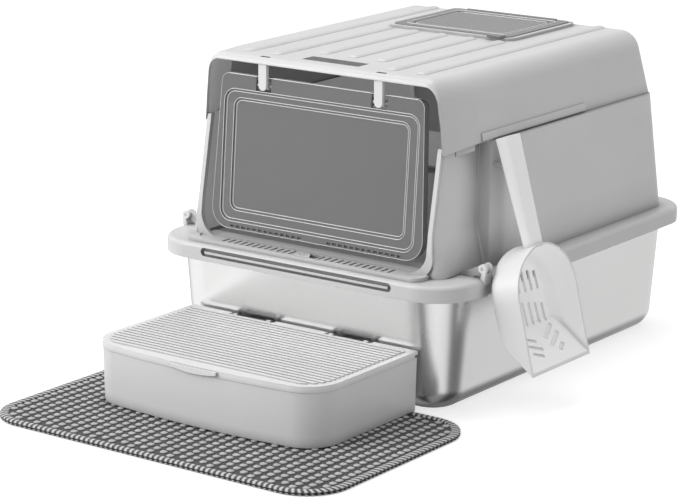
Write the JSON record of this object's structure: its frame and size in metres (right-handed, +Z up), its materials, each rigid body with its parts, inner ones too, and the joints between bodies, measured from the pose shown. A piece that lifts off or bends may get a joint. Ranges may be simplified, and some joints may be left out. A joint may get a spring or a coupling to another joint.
{
  "type": "enclosed cat litter box",
  "caption": "Hooded cat litter box with a drafted steel pan, flip-up cover with skylight, swinging see-through flap, hanging scoop, lidded storage step and litter mat.",
  "frame": {"origin": "middle of the steel pan's underside, on the floor", "axes": "+X to the viewer's right when facing the entrance, -Y out of the entrance, +Z up"},
  "size_m": [0.5095, 0.824, 0.3826],
  "materials": {
    "steel": "bright satin",
    "rim_plastic": "satin",
    "hood_plastic": "satin",
    "cover_plastic": "satin",
    "white_plastic": "satin",
    "clear_plastic": "smoky translucent",
    "dark_plastic": "satin",
    "pin_plastic": "satin",
    "step_plastic": "satin",
    "lid_plastic": "satin",
    "mat_foam": "matt foam with raised nubs",
    "mat_base": "matt foam",
    "binding": "woven edge tape"
  },
  "bodies": {
    "base": {"steel_pan": "steel", "rim_ring": "rim_plastic", "hood": "hood_plastic", "scoop_peg": "hood_plastic", "cover_pin_left": "pin_plastic", "cover_pin_right": "pin_plastic", "buckle_pin_left": "pin_plastic", "buckle_pin_right": "pin_plastic"},
    "cover": {"top_cover": "cover_plastic", "badge_plate": "dark_plastic", "hook_left": "white_plastic", "hook_right": "white_plastic", "skylight_pin": "pin_plastic"},
    "flap": {"flap_door": "clear_plastic", "flap_pin_left": "pin_plastic", "flap_pin_right": "pin_plastic"},
    "latch": {"sill_latch": "white_plastic"},
    "skylight_panel": {"skylight": "clear_plastic"},
    "left_buckle": {"buckle_left": "white_plastic"},
    "right_buckle": {"buckle_right": "white_plastic"},
    "hanging_scoop": {"scoop": "white_plastic"},
    "mat": {"mat_top": "mat_foam", "mat_top_binding": "binding", "mat_bottom": "mat_base", "mat_bottom_binding": "binding"},
    "step": {"step_box": "step_plastic", "step_pin_left": "pin_plastic", "step_pin_right": "pin_plastic"},
    "lid": {"step_lid": "lid_plastic"}
  },
  "joints": [
    {"name": "cover_open", "type": "hinge", "parent": "base", "child": "cover", "pos_m": [0, 0.226, 0.3039], "axis": [-1, 0, 0], "range_deg": [0, 72]},
    {"name": "flap_swing", "type": "hinge", "parent": "cover", "child": "flap", "pos_m": [0, -0.215, 0.3424], "axis": [1, 0, 0], "range_deg": [-60, 60]},
    {"name": "latch_slide", "type": "slide", "parent": "base", "child": "latch", "axis": [1, 0, 0], "range_m": [0, 0.008]},
    {"name": "skylight_open", "type": "hinge", "parent": "cover", "child": "skylight_panel", "pos_m": [0, 0.1795, 0.3795], "axis": [-1, 0, 0], "range_deg": [0, 100]},
    {"name": "left_buckle_open", "type": "hinge", "parent": "base", "child": "left_buckle", "pos_m": [-0.213, -0.197, 0.168], "axis": [0, 1, 0], "range_deg": [0, 80]},
    {"name": "right_buckle_open", "type": "hinge", "parent": "base", "child": "right_buckle", "pos_m": [0.213, -0.197, 0.168], "axis": [0, -1, 0], "range_deg": [0, 6]},
    {"name": "scoop_off", "type": "slide", "parent": "base", "child": "hanging_scoop", "axis": [1, 0, 0], "range_m": [0, 0.12]},
    {"name": "mat_pull", "type": "slide", "parent": "base", "child": "mat", "axis": [0, -1, 0], "range_m": [0, 0.3]},
    {"name": "step_pull", "type": "slide", "parent": "mat", "child": "step", "axis": [0, -1, 0], "range_m": [0, 0.09]},
    {"name": "step_lid_open", "type": "hinge", "parent": "step", "child": "lid", "pos_m": [0, -0.2575, 0.074], "axis": [-1, 0, 0], "range_deg": [0, 65]}
  ]
}
